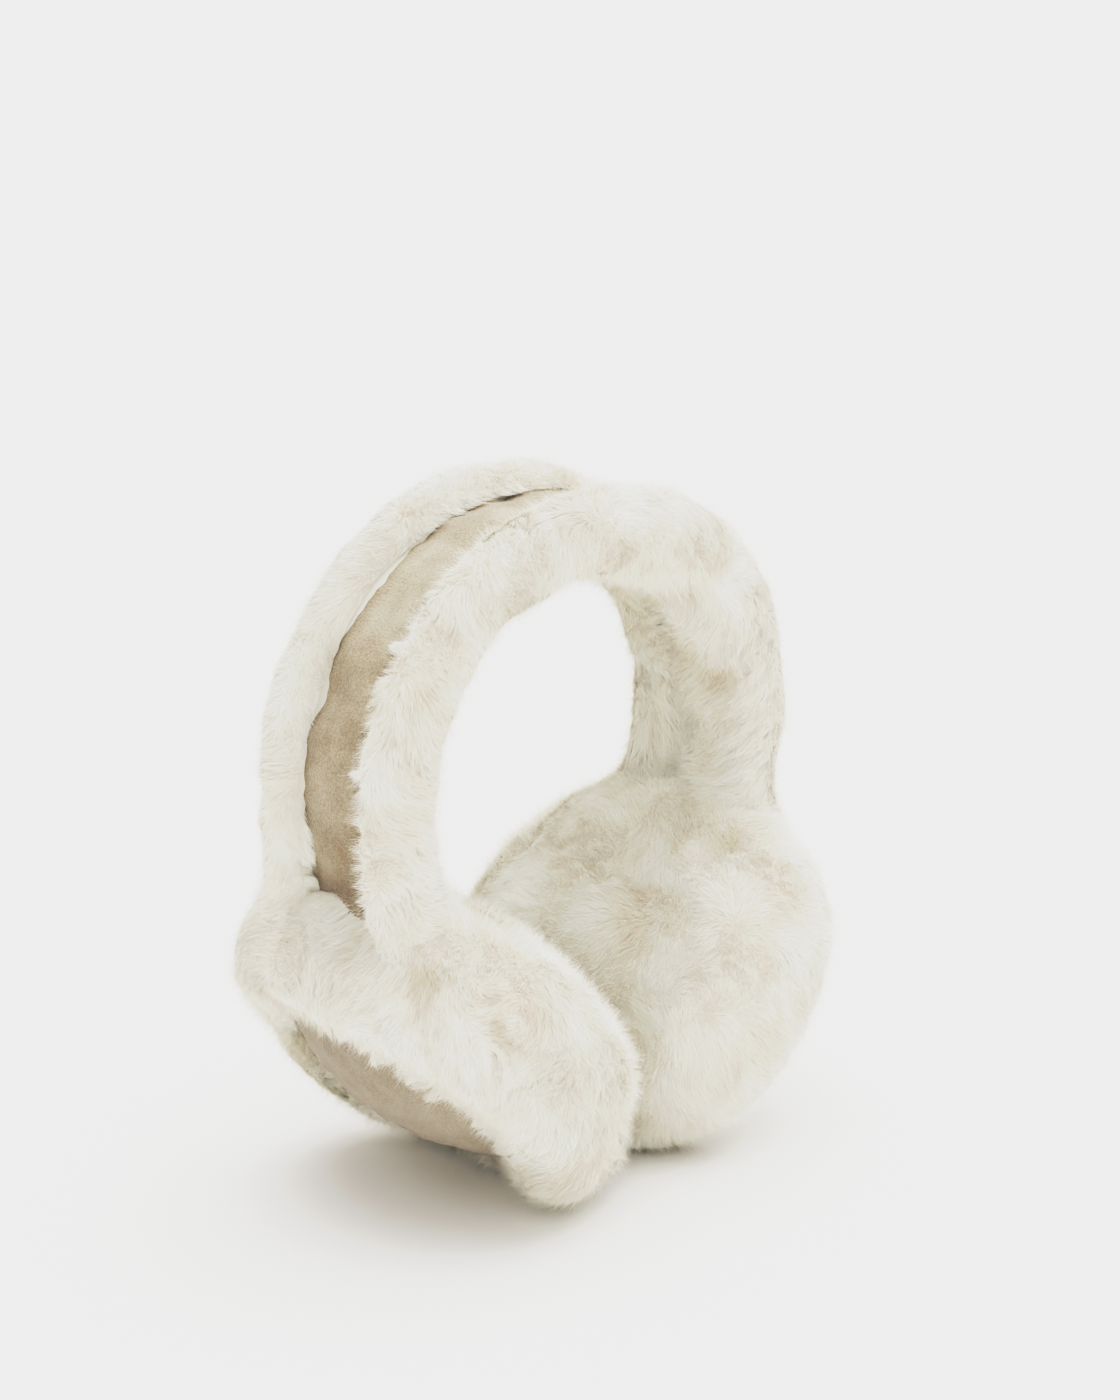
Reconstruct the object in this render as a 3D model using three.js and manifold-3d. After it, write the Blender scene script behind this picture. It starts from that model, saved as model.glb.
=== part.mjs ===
// Winter earmuffs: a fur-covered sprung headband with a suede strip along its outer face,
// and two deep fur ear cups, each an outer fur ring round a padded suede disc, sewn at the
// rim to an inner fur pad. They stand on the rims of the two cups, which lean together.
// Millimetres, +Z up, X from ear to ear, +Y where the wearer looks. The origin is on the
// ground, midway between the cups.

import * as THREE from 'three';
import { mergeVertices } from 'three/addons/utils/BufferGeometryUtils.js';
import Module from 'manifold-3d';

const wasm = await Module();
wasm.setup();

// ---------------------------------------------------------------- driving dimensions

const PIECE_GAP = 0.3;             // clearance between pieces that touch

const ARCH_HALF_SPAN = 71;         // middle of the band's thickness, from the arch's centre
const ARCH_RISE = 66;
const ARCH_ROUNDNESS = 0.93;       // 1 is an ellipse, less has squarer shoulders
const ARCH_END_ANGLE = 112;        // degrees from the crown to the end inside the cup

const SLEEVE_WIDTH = 50;           // fur sleeve over the band, front to back
const SLEEVE_DEPTH = 26.5;         // fur sleeve from the head side to the outside
const SLEEVE_ROUNDNESS = 0.78;     // 1 is an ellipse, less has squarer sides
const BROW_SHARE = 0.4;            // of each outer roll, the part between groove and crest
const PARTING_DEPTH = 2.5;         // valley along the head side where the fur parts
const PARTING_WIDTH = 9;

const STRIP_WIDTH = 26;            // suede strip between the two outer rolls of fur
const STRIP_THICKNESS = 2;
const STRIP_SUNK = 6.5;            // from the crest of the rolls down to the strip's edge
const STRIP_CROWN = 1.6;           // how far the middle of the strip stands above its edge
const PUCKER_PITCH = 11;           // gathers across the strip
const PUCKER_HEIGHT = 0.5;

const CUP_RADIUS = 57;             // over the fur
const CUP_TILT = 46.5;             // degrees that the outer face looks down
const CUP_CENTRE_X = 40.5;
const LEFT_CUP_TURN = 7;           // degrees, about the vertical, that its outside looks forwards
const CUP_CENTRE_DROP = 66;        // below the arch's centre
const CUP_ROUNDNESS = 0.78;
const RING_HEIGHT = 19;            // crest of the fur ring above the cup's middle plane
const RING_INNER_DROP = 2.2;       // from the crest down to the fur at the disc's edge
const PAD_HEIGHT = 32;             // crown of the inner pad below the middle plane
const SEAM_HEIGHT = 0;             // rim seam between ring and pad
const SEAM_DEPTH = 3;
const SEAM_WIDTH = 5;

const DISC_RADIUS = 36.5;
const DISC_CROWN = 11.5;           // padded dome above the disc's own edge
const DISC_EDGE_THICKNESS = 4;
const DISC_EDGE_ROUND = 1.6;

const GROUND_FLATTENED = 3;        // fur pressed flat where a cup's rim rests

const ARCH_STEPS = 38;
const CUP_STEPS = 40;

// ------------------------------------------------------------------------- materials

const fur = new THREE.MeshStandardMaterial({ color: 0xeeeade, roughness: 1, metalness: 0 });
const suede = new THREE.MeshStandardMaterial({ color: 0xd5c8b2, roughness: 0.95, metalness: 0 });

// --------------------------------------------------------------------------- helpers

// A cosine or sine raised to a power that keeps its sign, for squarish ellipses.
const signedPower = (value, power) => Math.sign(value) * Math.abs(value) ** power;

// Points of a quarter of a squarish ellipse, from its flat side (0, height) to (width, 0).
function quarterRound(width, height, power, steps) {
  return Array.from({ length: steps + 1 }, (_, i) => {
    const angle = (Math.PI / 2) * (i / steps);
    return new THREE.Vector2(
      width * signedPower(Math.sin(angle), power),
      height * signedPower(Math.cos(angle), power),
    );
  });
}

function toSolid(geometry) {
  const bare = geometry.clone();
  bare.deleteAttribute('normal');
  bare.deleteAttribute('uv');
  const merged = mergeVertices(bare, 1e-4);
  return new wasm.Manifold(new wasm.Mesh({
    numProp: 3,
    vertProperties: new Float32Array(merged.attributes.position.array),
    triVerts: new Uint32Array(merged.index.array),
  }));
}

function toGeometry(solid) {
  const mesh = solid.getMesh();
  const geometry = new THREE.BufferGeometry();
  geometry.setAttribute('position', new THREE.BufferAttribute(mesh.vertProperties, 3));
  geometry.setIndex(new THREE.BufferAttribute(mesh.triVerts, 1));
  geometry.computeVertexNormals();
  return geometry;
}

function named(name, geometry, material) {
  const mesh = new THREE.Mesh(geometry, material);
  mesh.name = name;
  return mesh;
}

// ------------------------------------------------------------------------------ band

// The middle line of the band, from inside the left cup over the crown to the right cup.
class ArchCurve extends THREE.Curve {
  getPoint(t, target = new THREE.Vector3()) {
    const angle = THREE.MathUtils.degToRad(ARCH_END_ANGLE) * (2 * t - 1);
    return target.set(
      ARCH_HALF_SPAN * signedPower(Math.sin(angle), ARCH_ROUNDNESS),
      0,
      ARCH_RISE * signedPower(Math.cos(angle), ARCH_ROUNDNESS),
    );
  }
}

// Sweeps a counter-clockwise outline along the arch. An outline point's x is its distance to
// the front, and its y is its distance outwards from the arch's middle line. Each end reaches
// `overrun` past the arch's own end.
function sweepAlongArch(outlineAt, overrun = 0) {
  const arch = new ArchCurve();
  const length = arch.getLength();
  const rings = [];
  for (let i = 0; i <= ARCH_STEPS; i += 1) {
    const middle = arch.getPointAt(i / ARCH_STEPS);
    const along = arch.getTangentAt(i / ARCH_STEPS);
    const outwards = new THREE.Vector3(-along.z, 0, along.x);
    const outline = outlineAt((i / ARCH_STEPS) * length);
    if (i === 0) middle.addScaledVector(along, -overrun);
    if (i === ARCH_STEPS) middle.addScaledVector(along, overrun);
    rings.push(outline.map((p) => middle.clone().addScaledVector(outwards, p.y).setY(p.x)));
  }
  const count = rings[0].length;
  const indices = [];
  for (let i = 0; i < ARCH_STEPS; i += 1) {
    for (let j = 0; j < count; j += 1) {
      const a = i * count + j;
      const b = i * count + ((j + 1) % count);
      indices.push(a, b, a + count, b, b + count, a + count);
    }
  }
  const section = outlineAt(0);
  const last = ARCH_STEPS * count;
  for (const [a, b, c] of THREE.ShapeUtils.triangulateShape(section, [])) {
    indices.push(c, b, a, last + a, last + b, last + c);
  }
  const geometry = new THREE.BufferGeometry();
  geometry.setFromPoints(rings.flat());
  geometry.setIndex(indices);
  geometry.computeVertexNormals();
  return geometry;
}

const crest = SLEEVE_DEPTH / 2;
const stripEdgeHeight = crest - STRIP_SUNK;
const rollWidth = (SLEEVE_WIDTH - STRIP_WIDTH) / 2;

// Height of the suede's upper face over the arch's middle line.
function stripTop(side, distance) {
  const crown = STRIP_CROWN * (1 - (2 * side / STRIP_WIDTH) ** 2);
  const pucker = PUCKER_HEIGHT * Math.sin((2 * Math.PI * distance) / PUCKER_PITCH);
  return stripEdgeHeight + crown + pucker * (crown / STRIP_CROWN);
}

// The front half of the sleeve's section, from the groove for the strip, over the roll of
// fur and round the front to the parting on the head side. `grow` swells the section for
// the pockets in the cups, and `floor` is the height of the bottom of the groove.
function sleeveHalf(grow, floor) {
  const wall = STRIP_WIDTH / 2 + PIECE_GAP - grow;
  const crestAt = wall + rollWidth * BROW_SHARE;
  const base = Math.max(floor, stripEdgeHeight);
  const corner = floor < base ? [new THREE.Vector2(wall, floor)] : [];
  const brow = quarterRound(crestAt - wall, crest + grow - base, 1, 3);
  const front = quarterRound(SLEEVE_WIDTH / 2 + grow - crestAt, crest + grow, SLEEVE_ROUNDNESS, 5);
  const head = quarterRound(SLEEVE_WIDTH / 2 + grow, crest + grow, SLEEVE_ROUNDNESS, 8);
  return [
    ...corner,
    ...brow.reverse().map((p) => new THREE.Vector2(crestAt - p.x, base + p.y)),
    ...front.slice(1).map((p) => new THREE.Vector2(crestAt + p.x, p.y)),
    ...head.reverse().slice(1).map((p) => {
      const near = Math.max(0, 1 - (2 * p.x) / PARTING_WIDTH);
      return new THREE.Vector2(p.x, PARTING_DEPTH * near - p.y);
    }),
  ];
}

// The whole outline, counter-clockwise: the front half and its mirror image.
function sleeveOutline(grow, floor) {
  const half = sleeveHalf(grow, floor);
  const mirrored = half.slice(0, -1).map((p) => new THREE.Vector2(-p.x, p.y));
  return [...mirrored, ...half.reverse()];
}

const grooveFloor = stripEdgeHeight - STRIP_THICKNESS - PIECE_GAP;
const stripHighest = stripEdgeHeight + STRIP_CROWN + PUCKER_HEIGHT;

function makeSleeve() {
  return sweepAlongArch(() => sleeveOutline(0, grooveFloor));
}

function makeStrip() {
  const across = 6;
  return sweepAlongArch((distance) => {
    const top = [];
    for (let i = 0; i <= across; i += 1) {
      const side = STRIP_WIDTH * (0.5 - i / across);
      top.push(new THREE.Vector2(side, stripTop(side, distance)));
    }
    const under = top.map((p) => new THREE.Vector2(p.x, stripEdgeHeight - STRIP_THICKNESS));
    return [...under.reverse(), ...top];
  });
}

// ------------------------------------------------------------------------------ cups

// Profiles are (distance from the cup's axis, height towards the outside).
const ringCrestAt = (CUP_RADIUS + DISC_RADIUS) / 2;
const recessRadius = DISC_RADIUS + PIECE_GAP;
const discEdgeHeight = RING_HEIGHT - RING_INNER_DROP;
const recessFloor = discEdgeHeight - DISC_EDGE_THICKNESS - PIECE_GAP;

// Pulls a profile point in where the rim seam draws the fur down into a valley.
function sinkIntoSeam(point) {
  const near = Math.max(0, 1 - Math.abs(point.y - SEAM_HEIGHT) / SEAM_WIDTH);
  return new THREE.Vector2(point.x - SEAM_DEPTH * near, point.y);
}

const ringShoulder = quarterRound(CUP_RADIUS - ringCrestAt, RING_HEIGHT, CUP_ROUNDNESS, 9)
  .map((p) => new THREE.Vector2(ringCrestAt + p.x, p.y));

function makeRing() {
  const seam = SEAM_HEIGHT + PIECE_GAP / 2;
  const brow = quarterRound(ringCrestAt - recessRadius, RING_INNER_DROP, 1, 3)
    .map((p) => new THREE.Vector2(ringCrestAt - p.x, discEdgeHeight + p.y))
    .reverse();
  return new THREE.LatheGeometry([
    new THREE.Vector2(0, seam),
    ...ringShoulder.map((p) => sinkIntoSeam(new THREE.Vector2(p.x, Math.max(p.y, seam)))).reverse(),
    ...brow.reverse().slice(1),
    new THREE.Vector2(recessRadius, recessFloor),
    new THREE.Vector2(0, recessFloor),
  ], CUP_STEPS);
}

function makePad() {
  const seam = SEAM_HEIGHT - PIECE_GAP / 2;
  const crown = quarterRound(CUP_RADIUS, PAD_HEIGHT, CUP_ROUNDNESS, 12)
    .map((p) => sinkIntoSeam(new THREE.Vector2(p.x, Math.min(-p.y, seam))));
  return new THREE.LatheGeometry([...crown, new THREE.Vector2(0, seam)], CUP_STEPS);
}

function makeDisc() {
  const under = discEdgeHeight - DISC_EDGE_THICKNESS;
  const edge = DISC_RADIUS - DISC_EDGE_ROUND;
  const dome = (r) => discEdgeHeight + DISC_CROWN * (1 - (r / DISC_RADIUS) ** 2);
  const rows = 6;
  const profile = [
    new THREE.Vector2(0, under),
    new THREE.Vector2(edge, under),
    new THREE.Vector2(DISC_RADIUS, under + DISC_EDGE_ROUND),
    new THREE.Vector2(DISC_RADIUS, discEdgeHeight),
  ];
  for (let i = 1; i <= rows; i += 1) {
    const r = DISC_RADIUS * (1 - i / rows);
    profile.push(new THREE.Vector2(r, dome(r)));
  }
  return new THREE.LatheGeometry(profile, CUP_STEPS);
}

// -------------------------------------------------------------------------- assembly

// The cups rest on their outer rings: the lowest point of a ring, less the flattened fur.
const tilt = THREE.MathUtils.degToRad(CUP_TILT);
const ringLowest = Math.max(
  ...ringShoulder.map((p) => CUP_CENTRE_DROP + p.x * Math.cos(tilt) + p.y * Math.sin(tilt)),
);
const archHeight = ringLowest - GROUND_FLATTENED;

// What a cup gives way to, in the frame of the arch: the band's end, the cup opposite and
// the ground. `side` is 1 on the right and -1 on the left.
function cupCutters(side) {
  const reach = 4 * CUP_RADIUS;
  const socketFloor = stripHighest + PIECE_GAP;
  const socket = sweepAlongArch(() => sleeveOutline(PIECE_GAP, socketFloor), PIECE_GAP);
  const opposite = new THREE.BoxGeometry(reach, reach, reach);
  opposite.translate(side * (PIECE_GAP / 2 - reach / 2), 0, 0);
  const ground = new THREE.BoxGeometry(reach, reach, reach);
  ground.translate(0, 0, -archHeight - reach / 2);
  return [socket, opposite, ground];
}

// One cup: a frame whose Y axis is the cup's own axis, pointing outwards and down, turned
// about the vertical to its heading.
function makeCup(name, side, heading) {
  const vertical = new THREE.Vector3(0, 0, 1);
  const outwards = new THREE.Vector3(Math.cos(tilt), 0, -Math.sin(tilt));
  outwards.applyAxisAngle(vertical, heading);
  const forwards = new THREE.Vector3(0, 1, 0).applyAxisAngle(vertical, heading);
  const upwards = new THREE.Vector3().crossVectors(outwards, forwards);
  const cup = new THREE.Group();
  cup.position.set(side * CUP_CENTRE_X, 0, -CUP_CENTRE_DROP);
  cup.setRotationFromMatrix(new THREE.Matrix4().makeBasis(upwards, outwards, forwards));
  cup.updateMatrix();
  const toCup = cup.matrix.clone().invert();
  const cutters = cupCutters(side).map((geometry) => toSolid(geometry.applyMatrix4(toCup)));
  const cut = (geometry) => toGeometry(
    cutters.reduce((solid, cutter) => solid.subtract(cutter), toSolid(geometry)),
  );
  cup.add(named(`ear_ring_${name}`, cut(makeRing()), fur));
  cup.add(named(`ear_pad_${name}`, cut(makePad()), fur));
  cup.add(named(`ear_disc_${name}`, makeDisc(), suede));
  return cup;
}

const earmuffs = new THREE.Group();
earmuffs.name = 'earmuffs';
earmuffs.position.z = archHeight;
earmuffs.add(named('band_fur', makeSleeve(), fur));
earmuffs.add(named('band_strip', makeStrip(), suede));
earmuffs.add(makeCup('right', 1, 0));
earmuffs.add(makeCup('left', -1, Math.PI - THREE.MathUtils.degToRad(LEFT_CUP_TURN)));

export default earmuffs;
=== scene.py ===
"""Plush earmuffs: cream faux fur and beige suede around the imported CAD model.

Lengths below are millimetres, and MM turns them into Blender's metres where meshes are made.
The fur is grown on charts: a chart is a flat map, in millimetres, of a rounded surface, and
turns (x, y) on the map into a point in space and the direction that points out of the fur.
"""
import math

import bmesh
import bpy
import numpy as np
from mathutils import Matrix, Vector


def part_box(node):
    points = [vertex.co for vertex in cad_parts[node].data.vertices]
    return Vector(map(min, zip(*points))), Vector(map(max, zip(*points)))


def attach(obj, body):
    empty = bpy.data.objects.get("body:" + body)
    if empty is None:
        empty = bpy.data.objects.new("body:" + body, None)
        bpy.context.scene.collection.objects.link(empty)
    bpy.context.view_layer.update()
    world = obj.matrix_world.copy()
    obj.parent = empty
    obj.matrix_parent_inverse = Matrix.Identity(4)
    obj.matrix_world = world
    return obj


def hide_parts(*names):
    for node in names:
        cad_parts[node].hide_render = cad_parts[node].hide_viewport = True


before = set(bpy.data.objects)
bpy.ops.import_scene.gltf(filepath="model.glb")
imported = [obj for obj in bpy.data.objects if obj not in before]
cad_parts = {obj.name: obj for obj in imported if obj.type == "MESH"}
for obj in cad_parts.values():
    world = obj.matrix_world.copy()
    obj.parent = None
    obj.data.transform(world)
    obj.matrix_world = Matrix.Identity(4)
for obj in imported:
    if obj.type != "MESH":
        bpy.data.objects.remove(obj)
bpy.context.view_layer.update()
MM = 0.001
WHITE = (1, 1, 1)
LEFT, BAND, RIGHT = -1, 0, 1
FORWARDS = np.array([0.0, 1.0, 0.0])

# --- sizes, as in the CAD model where no comment says otherwise

ARCH_HALF_SPAN = 71.0
ARCH_RISE = 66.0
ARCH_ROUNDNESS = 0.93
ARCH_END_ANGLE = math.radians(112)
SLEEVE_WIDTH = 50.0
SLEEVE_DEPTH = 26.5
SLEEVE_ROUNDNESS = 0.78
STRIP_WIDTH = 26.0
STRIP_SUNK = 6.5
STRIP_CROWN = 1.6
STRIP_THICKNESS = 2.0
STRIP_SHIFT = -0.4  # towards the back roll, which leaves more of it bare
STRIP_TUCK = 0.3  # under the fur, on either side
STRIP_FOLD = 0.8
STRIP_GATHER = 0.3
CUP_RADIUS = 57.0
CUP_TILT = math.radians(46.5)
CUP_CENTRE_X = 40.5
CUP_CENTRE_DROP = 66.0
CUP_ROUNDNESS = 0.78
LEFT_CUP_TURN = math.radians(7)
RING_HEIGHT = 19.0
RING_INNER_DROP = 2.2
PAD_HEIGHT = 32.0
DISC_RADIUS = 36.5
DISC_CROWN = 10.3  # 1.2 lower than the CAD model's
DISC_EDGE = 1.6  # radius of its rounded edge
DISC_DIMPLE = 0.25

# The fur's edges.
OVERHANG = 6.0  # past an edge, over which fur may fall
OVER_STRIP = 0.6  # the fallen fur's height over the strip
OVER_DISC = 0.7
LAP_POINTS = 12  # of a section, where its fur falls over an edge
LIP = 7.0  # over which a cup's ring rises from the disc
FRONT_LIP = 2.8  # how far the front roll bulges over the strip
FRONT_SLOPE = 1.65  # of its wall, from 1 for upright to 2 for a ramp
BACK_LIP = -1.0
BACK_SLOPE = 1.0
BROW = 5.0  # from a roll's crest to the groove
PARTING_DEPTH = 2.5  # on the head side
PARTING_WIDTH = 4.5

# The arch's centre stands this far over the ground.
ARCH_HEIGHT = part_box("band_fur")[1].z / MM - ARCH_RISE - SLEEVE_DEPTH / 2

# --- fur and suede

STRANDS_PER_MM2 = 10.0
STRAND_WIDTH = 0.26
STRAND_ROLL = 0.1
OWN_SHADING = 1.5  # how far a strand's own turn shows in its shading
ROOT_DEPTH = 0.7  # under the fur's outer form
UNDERCOAT_DEPTH = 0.8
UNDERCOAT_MESH = 1.8
PELT_GRID = 0.5
FLATTEN = 0.6
TUFT_DOME = 1.1
TUFT_STEP = 0.8  # how far a tuft's tip stands over the next tuft's root
STRAY = 1.8  # how far the flow of the fur wanders
BAND_TUFT = 5.0  # between tufts
CUP_TUFT = 5.5
CLUMP_SPACING = 12.0  # of the larger tufts
CLUMP_SHARE = 1.5
LOCK_SPACING = 1.5
GUARD_SHARE = 0.34  # of the strands, those that stand proud and blur the outline
GUARD_RISE = 4.2
GUARD_WIDTH = 0.36  # of another strand's
LET_THROUGH = 0.25  # of the light that falls on a strand, what passes through it
# How much strands differ: lowest and highest.
PULL = (0.6, 1.3)  # towards the middle of the tuft, where the fur gathers
CLING = (0.0, 0.7)  # towards the middle of the lock
STRETCH = (0.7, 1.3)
BREADTH = (0.7, 1.3)
TONE_SPREAD = 0.15
BAND_LEAN = 3.2  # how far a strand's tip lies from its root, across the map
BAND_LEAN_DOWN = 3.0
CUP_LEAN = 3.4
BAND_VALLEY = 1.8  # how deep the fur parts
CUP_VALLEY = 2.6
LAP = 6.0  # from an edge, over which its own lie of the fur fades out
BACK_LAP = 16.0
CUP_LAP = 5.0
FRONT_OVER = -1.8  # how far the fur at the edge leans over the strip
BACK_OVER = 3.0
PAD_LEAN_DOWN = 2.4
AWAY = 4.0  # how far the fur leans away beyond the disc
AWAY_LAP = 14.0
FUR_TONE = 0.8
# The tone's fall where the fur parts is painted shade.
VALLEY_TONE = 0.5  # how much darker it is where it parts
DIP = 1.4  # of the undercoat under the suede
COVERED = -3.0  # how deep in the other fur no strands are grown
BAND_SEED = 21
CUP_SEED = 31
BAND_ROOT_SEED = 60
CUP_ROOT_SEED = 70
FILLET = 12.0  # over which the band's fur runs into a cup's
CLEARANCE = 0.15  # of the fur from the ground and the other cup


# --- camera

AZIMUTH = math.radians(-47.2)
ELEVATION = math.radians(16.6)
DISTANCE = 904.0
LENS = 85.0
AIM_RIGHT = 5.9  # where the lens points, from the arch's centre
AIM_UP = 17.5


def make_camera():
    back = Vector((math.sin(AZIMUTH) * math.cos(ELEVATION),
                   -math.cos(AZIMUTH) * math.cos(ELEVATION), math.sin(ELEVATION)))
    right = Vector((math.cos(AZIMUTH), math.sin(AZIMUTH), 0))
    up = back.cross(right)
    centre = Vector((0, 0, ARCH_HEIGHT))
    place = (centre + back * DISTANCE) * MM
    aim = (centre + right * AIM_RIGHT + up * AIM_UP) * MM
    data = bpy.data.cameras.new("camera")
    data.lens = LENS
    data.clip_end = 20
    camera = bpy.data.objects.new("camera", data)
    camera.location = place
    camera.rotation_euler = (aim - place).to_track_quat("-Z", "Y").to_euler()
    bpy.context.scene.collection.objects.link(camera)
    bpy.context.scene.camera = camera


# --- stage

# The studio is overexposed, as for a cut-out: its brightness prints along this curve, which
# is flat from the open floor's brightness up.
PRINT = ((0.0, 0.0), (0.15, 0.055), (0.3, 0.165), (0.5, 0.395), (0.7, 0.585),
         (1.0, 0.745), (1.3, 0.81), (1.7, 0.845), (2.05, 0.855))
SKY = 0.80
HORIZON = 1.65
HORIZON_SHARE = 0.02  # what the bright horizon adds to the open floor
SUN_SHARE = 1.08  # of a white floor's brightness
FILL_SHARE = 0.12  # from a softbox in front, to the left
FLOOR = 1.96  # the open floor's brightness
FLOOR_TINT = (1, 0.985, 0.96)
FLOOR_HALF = 6000.0  # half its width
BOUNCES = 6  # of the light between pale strands


def add_softbox(name, direction, share, degrees, color):
    """A broad light from a direction, by its share of a white floor's brightness."""
    direction = Vector(direction).normalized()
    sun = bpy.data.lights.new(name, "SUN")
    sun.energy = share * math.pi / direction.z
    sun.angle = math.radians(degrees)
    sun.color = color
    lamp = bpy.data.objects.new(name, sun)
    lamp.rotation_euler = direction.to_track_quat("Z", "Y").to_euler()
    bpy.context.scene.collection.objects.link(lamp)


def make_stage():
    world = bpy.data.worlds.new("studio")
    world.use_nodes = True
    tree = world.node_tree
    towards = node(tree, "ShaderNodeTexCoord")
    height = node(tree, "ShaderNodeSeparateXYZ", {"Vector": towards.outputs["Generated"]})
    walls = node(tree, "ShaderNodeMapRange", {
        "Value": height.outputs["Z"], "From Min": 0.08, "From Max": 0.22,
        "To Min": HORIZON, "To Max": SKY}, interpolation_type="SMOOTHSTEP")
    feed(tree, tree.nodes["Background"], {"Color": (*WHITE, 1),
                                          "Strength": walls.outputs["Result"]})
    bpy.context.scene.world = world

    add_softbox("softbox", (0.34, 0.06, 1.4), SUN_SHARE, 80, WHITE)
    add_softbox("fill", (-0.5, -0.85, 0.75), FILL_SHARE, 60, (0.93, 0.97, 1))

    albedo = FLOOR / (SKY + HORIZON_SHARE + SUN_SHARE + FILL_SHARE)
    color = (*(albedo * part for part in FLOOR_TINT), 1)
    material, _, _ = new_material("floor", {"Base Color": color, "Roughness": 1,
                                            "Specular IOR Level": 0})
    corners = FLOOR_HALF * np.array([[-1, -1, 0], [1, -1, 0], [1, 1, 0], [-1, 1, 0]])
    floor = add_mesh("floor", corners, np.array([[0, 1, 2, 3]]), material)


def expose():
    """Prints the studio's brightness along the curve."""
    view = bpy.context.scene.view_settings
    view.view_transform = "Standard"
    view.use_curve_mapping = True
    curves = view.curve_mapping
    curves.use_clip = False
    curves.extend = "HORIZONTAL"
    for channel in curves.curves[:3]:
        channel.points[0].location = PRINT[0]
        channel.points[1].location = PRINT[-1]
        for place in PRINT[1:-1]:
            channel.points.new(*place)
        for point in channel.points:
            point.handle_type = "VECTOR"
    curves.update()


# --- helpers

def feed(tree, made, inputs):
    """Sets a node's inputs, each to a value or to what another node gives."""
    for name, value in inputs.items():
        if isinstance(value, bpy.types.NodeSocket):
            tree.links.new(value, made.inputs[name])
        else:
            made.inputs[name].default_value = value


def node(tree, kind, inputs=None, **settings):
    made = tree.nodes.new(kind)
    for name, value in settings.items():
        setattr(made, name, value)
    feed(tree, made, inputs or {})
    return made


def new_material(name, inputs):
    """A material, its node tree, and its shader with these inputs."""
    material = bpy.data.materials.new(name)
    material.use_nodes = True
    tree = material.node_tree
    shader = tree.nodes["Principled BSDF"]
    feed(tree, shader, inputs)
    return material, tree, shader


def colored(tree, value, low, low_color, high, high_color):
    """A colour that runs from one to another as a value goes from low to high."""
    made = node(tree, "ShaderNodeValToRGB", {"Fac": value})
    first, second = made.color_ramp.elements
    first.position = low
    first.color = (*low_color, 1)
    second.position = high
    second.color = (*high_color, 1)
    return made.outputs["Color"]


def times(tree, first, second):
    """The product of two colours."""
    mix = node(tree, "ShaderNodeMix", {"Factor": 1, "A": first, "B": second},
               data_type="RGBA", blend_type="MULTIPLY")
    return mix.outputs["Result"]


def signed_power(value, power):
    return np.sign(value) * np.abs(value) ** power


def unit(vectors):
    return vectors / np.maximum(np.linalg.norm(vectors, axis=-1, keepdims=True), 1e-9)


def arc_lengths(points):
    steps = np.linalg.norm(np.diff(points, axis=0), axis=1)
    return np.concatenate([[0], np.cumsum(steps)])


def at_least(values, low, softness):
    """Bends values that go under `low` back to it, softly."""
    over = values - low
    return low + (over + np.sqrt(over ** 2 + softness ** 2)) / 2


def fade(distance, width):
    """Runs from 1 at a place to 0 well beyond a width from it."""
    return np.exp(-(distance / width) ** 2)


class Waves:
    """A smooth random relief in space, from -1 to 1 or so."""

    def __init__(self, seed, wavelength, count=18):
        draw = np.random.default_rng(seed)
        length = wavelength * draw.uniform(0.75, 1.5, count)
        self.k = unit(draw.normal(0, 1, (count, 3))) * (2 * math.pi / length)[:, None]
        self.phase = draw.uniform(0, 2 * math.pi, count)
        self.scale = math.sqrt(2 / count)

    def __call__(self, points):
        return np.cos(points @ self.k.T + self.phase).sum(1) * self.scale


def nearest_tuft(x, y, spacing, seed):
    """The centre of the tuft that each point of a chart belongs to, and how far it is: the
    nearest point of a grid that a hash of its cells shakes."""
    cell_x = np.floor(x / spacing).astype(np.int64)
    cell_y = np.floor(y / spacing).astype(np.int64)
    best = np.full(x.shape, np.inf)
    best_x = np.zeros_like(x)
    best_y = np.zeros_like(y)
    for ox in (-1, 0, 1):
        for oy in (-1, 0, 1):
            cx = cell_x + ox
            cy = cell_y + oy
            mixed = (cx * 73856093) ^ (cy * 19349663) ^ (seed * 83492791)
            shake_x = ((mixed * 1103515245 + 12345) >> 8 & 0xFFFF) / 0xFFFF
            shake_y = ((mixed * 214013 + 2531011) >> 8 & 0xFFFF) / 0xFFFF
            px = (cx + 0.1 + 0.8 * shake_x) * spacing
            py = (cy + 0.1 + 0.8 * shake_y) * spacing
            gap = (px - x) ** 2 + (py - y) ** 2
            near = gap < best
            best = np.where(near, gap, best)
            best_x = np.where(near, px, best_x)
            best_y = np.where(near, py, best_y)
    return best_x, best_y, np.sqrt(best)


def add_mesh(name, vertices, faces, material, uv=None):
    """A mesh object from arrays: vertices in millimetres, and triangles or quads."""
    mesh = bpy.data.meshes.new(name)
    sides = faces.shape[1]
    mesh.vertices.add(len(vertices))
    mesh.vertices.foreach_set("co", (vertices * MM).astype(np.float32).ravel())
    mesh.loops.add(faces.size)
    mesh.loops.foreach_set("vertex_index", faces.astype(np.int32).ravel())
    mesh.polygons.add(len(faces))
    mesh.polygons.foreach_set("loop_start", np.arange(0, faces.size, sides, dtype=np.int32))
    if uv is not None:
        layer = mesh.uv_layers.new(name="OFBake")
        layer.data.foreach_set("uv", uv[faces.ravel()].astype(np.float32).ravel())
    mesh.update(calc_edges=True)
    mesh.validate()
    mesh.materials.append(material)
    piece = bpy.data.objects.new(name, mesh)
    bpy.context.scene.collection.objects.link(piece)
    return piece


def shade_smooth(piece):
    piece.data.polygons.foreach_set("use_smooth", [True] * len(piece.data.polygons))


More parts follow.
